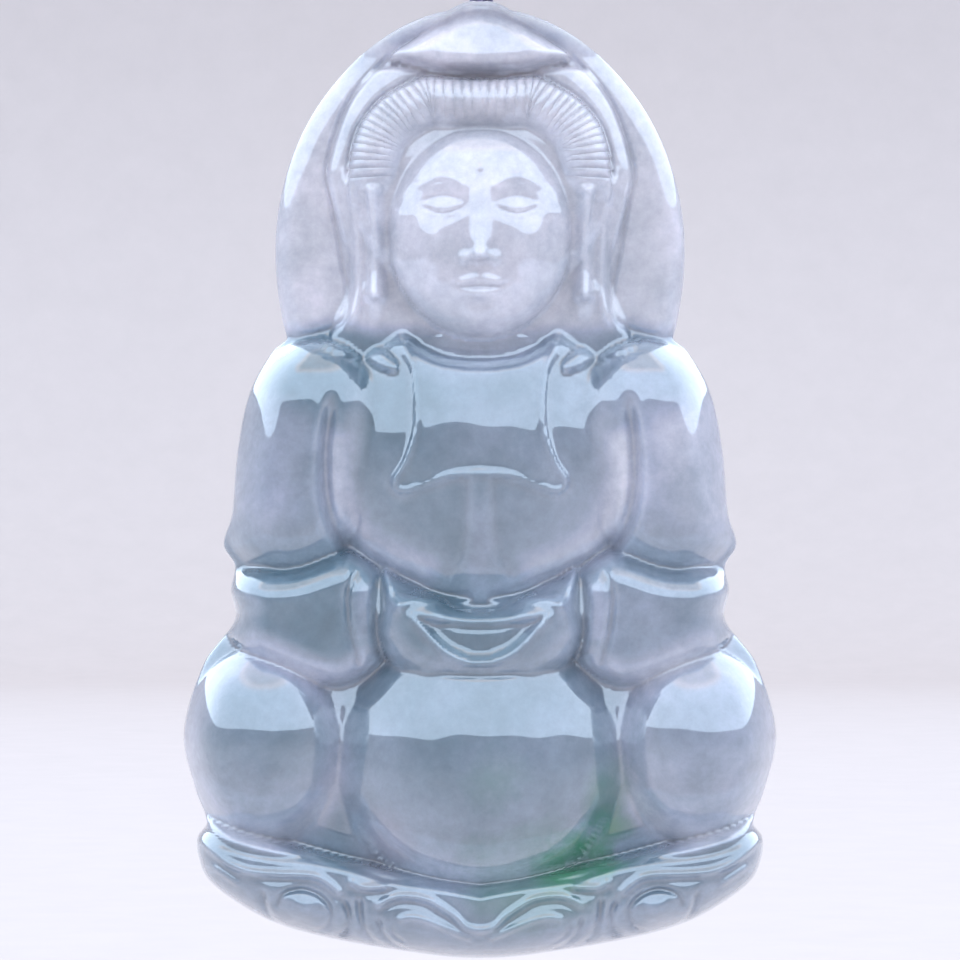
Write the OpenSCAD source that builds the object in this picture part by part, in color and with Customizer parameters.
// Carved jade pendant: a seated figure on a lotus base in front of a halo,
// cut from one stone, hanging in a doubled cord with a sliding knot.
// Millimetres. +Z is up, the carved face looks along -Y, and the origin is the
// point where the inside of the cord's top loop bears on a peg.

/* [Stone] */
// Height of the stone, from the lowest petal to the top of the hair bun
stone_h = 56; // [46:1:68]
// Width of the stone across the knees
stone_w = 34.8; // [29:0.1:42]
// Thickness of the stone, from its flat back to the front of the belly
stone_t = 9.6; // [8:0.1:12]
// Thickness of the halo plate beside the head
halo_t = 3.1; // [2.5:0.1:3.6]
// Width of the halo at its widest
halo_w = 24.2; // [21:0.1:28]
// Width of the head
head_w = 10.9; // [9:0.1:12.4]
// Width over which the front rolls over to the edge
front_roll = 2.2; // [1.2:0.1:3]
// Width over which the back rolls over to the edge
back_roll = 1.8; // [1:0.1:2.6]

/* [Cord hole] */
// Diameter of the hole drilled down from the top edge
top_bore_d = 2; // [1.6:0.1:2.4]
// Diameter of the hole drilled in from the back, which meets it
back_bore_d = 2.2; // [1.8:0.1:2.4]
// Extra radius of the worn countersink at the top mouth
mouth_flare = 0.4; // [0:0.1:0.5]
// Depth of that countersink below the top of the stone
mouth_depth = 0.9; // [0.5:0.1:1.5]

/* [Cord] */
// Diameter of the cord
cord_d = 0.8; // [0.6:0.05:0.9]

/* [Knot] */
// Length of the sliding knot along the strands
knot_h = 4.5; // [3:0.1:6]
// Thickness of the wraps around the strands
knot_wall = 0.9; // [0.7:0.05:1.2]
// Gap between the knot and the strands that it slides on
knot_gap = 0.1; // [0.05:0.01:0.2]
// Number of turns in the knot
knot_turns = 6; // [3:1:8]
// Diameter of the melted bead on each cord end
bead_d = 1.1; // [0.9:0.05:1.4]

/* [Hidden] */

jade = "#b9c6d4";
cord_blue = "#2c2540";

// The carving is drawn on a field of this size and scaled to the stone.
draw_h = 56;
draw_w = 34.8;
draw_t = 9.6;

// Places that the cord and the stone share
stone_top_z = -34;      // top of the bun
strand_y = 1.3;         // the back plane lies this far behind the strands
saddle_r = 1.8;         // radius of the cord's turn inside the stone
saddle_down = 2.75;     // centre of that turn below the top of the stone
strand_x = 0.42;        // each strand stands this far from the middle
knot_low_z = -30.2;     // lower end of the knot where it rests

rows = 88;              // rings of the stone's mesh, from base to top
cols = 48;              // columns across its front
over = 0.5;             // how far a cutter runs past the surface

// --- helpers ---------------------------------------------------------------

function sq(a) = a * a;
function clamp01(a) = min(1, max(0, a));
function ease(a) = let (c = clamp01(a)) c * c * (3 - 2 * c);
function quarter_round(a) = sqrt(max(0, 1 - sq(1 - clamp01(a))));
// Larger of two heights, with a soft valley of width k between them
function soft_max(a, b, k) = let (h = max(k - abs(a - b), 0) / k) max(a, b) + h * h * k / 4;
function fold(list, k, i = 0) =
    i == len(list) - 1 ? list[i] : soft_max(list[i], fold(list, k, i + 1), k);
// A rounded mass of height rise on a foot, where q runs from 0 in its middle to 1 at its edge
function mass(foot, rise, q) = foot + rise * sqrt(max(0, 1 - q * q)) - 9 * max(0, q - 1);
function oval(x, v, cx, cv, rx, rv) = sqrt(sq((x - cx) / rx) + sq((v - cv) / rv));
function limb(p, a, b, r) = norm(p - a - (b - a) * clamp01(((p - a) * (b - a)) / ((b - a) * (b - a)))) / r;

// Smooth curve through knots [s, w] at s
function knot_at(k, s, i = 0) = (i >= len(k) - 2 || s < k[i + 1][0]) ? i : knot_at(k, s, i + 1);
function slope(k, i) = let (a = max(0, i - 1), b = min(len(k) - 1, i + 1)) (k[b][1] - k[a][1]) / (k[b][0] - k[a][0]);
function curve(k, s) =
    let (i = knot_at(k, s), h = k[i + 1][0] - k[i][0], t = (s - k[i][0]) / h)
    (1 + 2 * t) * sq(1 - t) * k[i][1] + t * sq(1 - t) * h * slope(k, i)
    + t * t * (3 - 2 * t) * k[i + 1][1] + t * t * (t - 1) * h * slope(k, i + 1);

// --- the stone's outline ---------------------------------------------------

halo_mid = 41.5;        // height of the halo's widest place
halo_top = 55.6;        // where its arch would close
halo_foot = 36.4;       // where it meets the shoulders
halo_half = halo_w / 2 * draw_w / stone_w;
cap_r = 3.2;            // the bun's round top

// Half-width of the body and base at the square root of the height
body_knots = [
    [0, 0], [0.6, 4], [0.9, 6.9], [1.2, 9.9], [1.43, 11.9], [1.75, 13.9], [2.14, 15.9], [2.42, 16.5],
    [2.66, 16.6], [2.82, 16.05], [3.13, 16.7], [3.63, 17.4], [4.16, 16.2], [4.46, 14.4], [4.65, 14.65],
    [4.8, 14.4], [4.92, 15.05], [5.1, 14.6], [5.46, 14.25], [5.77, 13.5], [5.97, 12.2], [6.03, 11.3]];

function halo_width(v) =
    v > halo_mid ? halo_half * sqrt(max(0, 1 - sq((v - halo_mid) / (halo_top - halo_mid))))
    : halo_half * (1 - 0.058 * sq((halo_mid - v) / (halo_mid - halo_foot)));
function cap_width(v) = sqrt(max(0, sq(cap_r) - sq(max(0, v - (draw_h - cap_r)))));
function half_width(v) =
    v < halo_foot ? curve(body_knots, sqrt(max(0, v))) : max(halo_width(v), v > draw_h - cap_r ? cap_width(v) : 0);
function row_height(i) = draw_h / 2 * (1 - cos(180 * i / rows));

outline = [for (i = [0 : rows]) [half_width(row_height(i)), row_height(i)]];
function edge_gap(p, a, b) = norm(p - a - (b - a) * clamp01(((p - a) * (b - a)) / ((b - a) * (b - a))));
// Distance from a place inside the stone to its outline
function to_edge(p) = let (q = [abs(p[0]), p[1]]) min([for (i = [0 : rows - 1]) edge_gap(q, outline[i], outline[i + 1])]);

// --- the carved front ------------------------------------------------------

// Height of the lotus base's rim and the depth of the stone's parting edge
function rim_height(x) = 4.04 + 0.13 * x + 0.0066 * x * x;
function edge_depth(v) = 1.5 + 1.6 * ease((38 - v) / 6) + 2.9 * ease((v - 51) / 4.5);

head_half = head_w / 2 * draw_w / stone_w;
halo_thick = halo_t * draw_t / stone_t;
hood_knots = [[34, 9], [36.6, 8.8], [39.9, 7.6], [44.5, 8.7], [46.1, 9], [50.4, 7.6], [53, 5.6], [54, 4]];

// Thickness of the stone at x and height v, before its edges are rolled over
function relief(x, v) =
    let (
        a = abs(x),
        p = [a, v],
        rim = rim_height(a),
        halo = halo_thick + 0.02 * (12 - a),
        slab = 4.3 * ease((37.5 - v) / 3),
        bun = mass(3.4, 2.9, oval(a, v, 0, 52.7, 5, 3.9)),
        hood = mass(halo_thick, 1.2, pow(a / curve(hood_knots, max(34, min(54, v))), 3) + 6 * clamp01((v - 52) / 4)),
        hair = mass(3.9, 2.3, oval(a, v, 0, 45.3, 7.7, 6.9)),
        head = mass(4.2, 3.1, oval(a, v, 0, 42.8, head_half, 6.5)),
        ear = mass(4.3, 0.9, oval(a, v, head_half + 0.75, 40.8, 0.75, 4.2)),
        neck = mass(3.9, 1.2, oval(a, v, 0, 36, 5.5, 3.4)),
        arm = mass(3.2, 4.1, limb(p, [9.6, 31.6], [11.1, 26.4], 4.2)),
        chest = mass(3.2, 4.2, oval(a, v, 0, 29.4, 9.2, 8.9)),
        forearm = mass(4.3, 4.1, limb(p, [11.6, 20.8], [7.4, 20.2], 3)),
        hands = mass(5.2, 3.8, oval(a, v, 0, 18.6, 6.3, 3.5)),
        knee = mass(3.9, 5.1, oval(a, v, 12.6, 12.9, 4.7, 5.3)),
        belly = mass(4.3, 5.3, oval(a, v, 0, 11.2, 8.4, 7.2)),
        lap = mass(4.2, 2.6, oval(a, v, 0, 12, 16.5, 7)),
        petals = mass(5.4, 3, abs(v - rim / 2 - 0.3) / (rim / 2 + 0.3)) + 0.25 * cos(a * 34)
    )
    fold([halo, slab, bun, hood, hair, head, ear, neck, arm, chest, forearm, hands, knee, belly, lap, petals], 0.5);

function front_depth(x, v, d) =
    let (e = edge_depth(v)) e + (relief(x, v) - e) * quarter_round(d / front_roll);
// The back is flat, eased forward near the top and rolled over at its edge
function back_depth(v, d) =
    edge_depth(v) * (1 - quarter_round(d / (back_roll + 2.6 * ease((v - 50) / 4)))) + 0.03 * sq(max(0, v - 49.5));

function place(x, v, depth) =
    [x * stone_w / draw_w, strand_y - depth * stone_t / draw_t, stone_top_z + (v - draw_h) * stone_h / draw_h];
function front_point(x, v) = place(x, v, front_depth(x, v, to_edge([x, v])));
function back_point(x, v) = place(x, v, back_depth(v, to_edge([x, v])));

// --- the stone's mesh ------------------------------------------------------

front_u = [for (j = [0 : cols]) sin(-90 + 180 * j / cols)];
back_u = [-0.985, -0.95, -0.89, -0.8, 0.8, 0.89, 0.95, 0.985];
inner = rows - 1;       // rows between the two end points
per_front = cols + 1;
per_back = len(back_u);
per_row = per_front + per_back;

function row_points(i) =
    let (v = row_height(i), w = half_width(v))
    concat([for (j = [0 : cols]) front_u[j] * front_u[j] > 0.9999
            ? place(front_u[j] * w, v, edge_depth(v))
            : front_point(front_u[j] * w, v)],
        [for (u = back_u) back_point(u * w, v)]);
// Index of a place on row i going round it: across the front, then back across the rear
function ring_at(i, j) =
    let (m = (j + per_row) % per_row)
    1 + (i - 1) * per_row + (m < per_front ? m : per_front + per_back - 1 - (m - per_front));

module stone_body() {
    top = 1 + inner * per_row;
    points = concat([place(0, 0, edge_depth(0))],
        [for (i = [1 : inner]) for (p = row_points(i)) p],
        [place(0, draw_h, edge_depth(draw_h))]);
    // Triangles from the base up; they are handed over from the crown down
    climb = concat(
        [for (j = [0 : per_row - 1]) [0, ring_at(1, j), ring_at(1, j + 1)]],
        [for (i = [1 : inner - 1]) for (j = [0 : per_row - 1])
            for (t = [0, 1]) t == 0
                ? [ring_at(i, j), ring_at(i + 1, j), ring_at(i + 1, j + 1)]
                : [ring_at(i, j), ring_at(i + 1, j + 1), ring_at(i, j + 1)]],
        [for (j = [0 : per_row - 1]) [top, ring_at(inner, j + 1), ring_at(inner, j)]]);
    faces = [for (k = [len(climb) - 1 : -1 : 0]) climb[k]];
    polyhedron(points = points, faces = faces, convexity = 10);
}

// The hole: down from behind the bun's ridge, and in from the back to meet it
module cord_hole() {
    saddle_z = stone_top_z - saddle_down;
    translate([0, -saddle_r, saddle_z - saddle_r * 0.6])
        cylinder(d = top_bore_d, h = saddle_down + saddle_r * 0.6 + over, $fn = 48);
    translate([0, -saddle_r, stone_top_z - mouth_depth])
        cylinder(d1 = top_bore_d, d2 = top_bore_d + 2 * mouth_flare, h = mouth_depth, $fn = 48);
    translate([0, strand_y + over, saddle_z - saddle_r * 0.75])
        rotate([90, 0, 0])
            cylinder(d = back_bore_d, h = strand_y + over + saddle_r, $fn = 48);
}

module jade_figure() {
    color(jade)
        difference() {
            stone_body();
            cord_hole();
        }
}

// --- the cord --------------------------------------------------------------

// Route of the cord's middle line: from the turn in the stone up the front leg, over the top and back
route = [
    [0, -0.6, -38.45], [0, -1.27, -38.02], [-0.05, -1.7, -37.4], [-0.1, -1.8, -36.6], [-0.15, -1.8, -35.6],
    [-0.2, -1.7, -34.4], [-0.3, -1.3, -33.2], [-0.38, -0.7, -32.2], [-0.42, -0.2, -31.2], [-0.42, 0, -30],
    [-0.42, 0, -26], [-0.42, 0, -22], [-0.42, 0, -18], [-0.42, 0, -14.5], [-0.7, 0, -12], [-1.5, 0, -8.5],
    [-2.5, 0, -5.2], [-3, 0, -2.6], [-2.6, 0, -1.1], [-1.5, 0, 0], [0, 0, 0.4], [1.5, 0, 0], [2.6, 0, -1.1],
    [3, 0, -2.6], [2.5, 0, -5.2], [1.5, 0, -8.5], [0.7, 0, -12], [0.42, 0, -14.5], [0.42, 0, -18],
    [0.42, 0, -22], [0.42, 0, -26], [0.42, 0, -30], [0.42, 0.3, -31.2], [0.42, 0.9, -32.3], [0.4, 1.5, -33.5],
    [0.35, 1.8, -34.8], [0.2, 1.85, -36.3], [0.05, 1.7, -37.4], [0, 1.2, -38.1], [0, 0.3, -38.52]];
route_steps = 2;        // rings from one point to the next
cord_sides = 8;

function at(list, i) = list[(i + len(list)) % len(list)];
function along(p0, p1, p2, p3, t) =
    0.5 * (2 * p1 + (p2 - p0) * t + (2 * p0 - 5 * p1 + 4 * p2 - p3) * t * t + (3 * p1 - p0 - 3 * p2 + p3) * t * t * t);
function unit(a) = a / norm(a);

// One ring of points around the middle line at c, heading along t
function ring(c, t, r) =
    let (turn = 90 * ease((-28 - c[2]) / 5), lead = [sin(turn), cos(turn), 0],
        side = unit(cross(t, lead)), up = cross(side, t))
    [for (k = [0 : cord_sides - 1]) c + r * (cos(k * 360 / cord_sides) * up + sin(k * 360 / cord_sides) * side)];

// The two triangles between side k of ring a and the same side of ring b
function strip(a, b) = [for (k = [0 : cord_sides - 1])
    let (p = a * cord_sides, q = b * cord_sides, next = (k + 1) % cord_sides)
    each [[p + k, q + next, p + next], [p + k, q + k, q + next]]];
// A flat end over ring a, seen from outside along the tube when flip is false
function cap(a, flip) = [for (k = [1 : cord_sides - 2])
    let (p = a * cord_sides)
    flip ? [p, p + k, p + k + 1] : [p, p + k + 1, p + k]];

module hanging_cord() {
    path = [for (i = [0 : len(route) - 1]) for (s = [0 : route_steps - 1])
        along(at(route, i - 1), at(route, i), at(route, i + 1), at(route, i + 2), s / route_steps)];
    n = len(path);
    points = [for (i = [0 : n - 1]) each ring(path[i], unit(at(path, i + 1) - at(path, i - 1)), cord_d / 2)];
    faces = [for (i = [0 : n - 1]) each strip(i, (i + 1) % n)];
    color(cord_blue)
        polyhedron(points = points, faces = faces, convexity = 10);
}

// --- the knot --------------------------------------------------------------

knot_room = strand_x + cord_d / 2 + knot_gap;   // half-width of its passage
knot_half = knot_room + knot_wall;              // half its width
knot_depth = cord_d / 2 + knot_gap;             // half the passage's depth

// A slot-shaped outline that reaches half_x to each side and half_y to front and back
module slot_outline(half_x, half_y) {
    square([2 * (half_x - half_y), 2 * half_y], center = true);
    for (side = [-1, 1])
        translate([side * (half_x - half_y), 0])
            circle(r = half_y, $fn = 32);
}

module sliding_knot() {
    turn_h = knot_h / knot_turns;
    groove = 0.12;
    color(cord_blue)
        difference() {
            translate([0, 0, knot_low_z])
                for (i = [0 : knot_turns - 1])
                    translate([0, 0, i * turn_h]) {
                        linear_extrude(turn_h)
                            slot_outline(knot_half - groove, knot_depth + knot_wall - groove);
                        translate([0, 0, turn_h * 0.2])
                            linear_extrude(turn_h * 0.6)
                                slot_outline(knot_half, knot_depth + knot_wall);
                    }
            translate([0, 0, knot_low_z - over])
                linear_extrude(knot_h + 2 * over)
                    slot_outline(knot_room, knot_depth);
        }
}

// Two short ends of the cord, each standing on the knot's top and closed by a melted bead.
// A tail's route starts at its foot, in the middle of the wraps' thickness.
tail_route = [[0, 0, 0], [0.02, -0.1, 1.2], [0.22, -0.3, 2.6], [0.62, -0.5, 4], [0.92, -0.6, 5.2]];
tail_foot_x = knot_room + knot_wall / 2;

module tail() {
    last = len(tail_route) - 1;
    points = [for (i = [0 : last])
        let (ahead = tail_route[min(last, i + 1)], behind = tail_route[max(0, i - 1)])
        each ring(tail_route[i], i == 0 ? [0, 0, 1] : unit(ahead - behind), cord_d / 2)];
    faces = concat(cap(0, true), [for (i = [0 : last - 1]) each strip(i, i + 1)], cap(last, false));
    polyhedron(points = points, faces = faces);
    translate(tail_route[last])
        sphere(d = bead_d, $fn = 24);
}

module cord_tails() {
    color(cord_blue)
        translate([0, 0, knot_low_z + knot_h])
            for (turn = [0, 180])
                rotate([0, 0, turn])
                    translate([tail_foot_x, 0, 0])
                        tail();
}

jade_figure();
hanging_cord();
sliding_knot();
cord_tails();
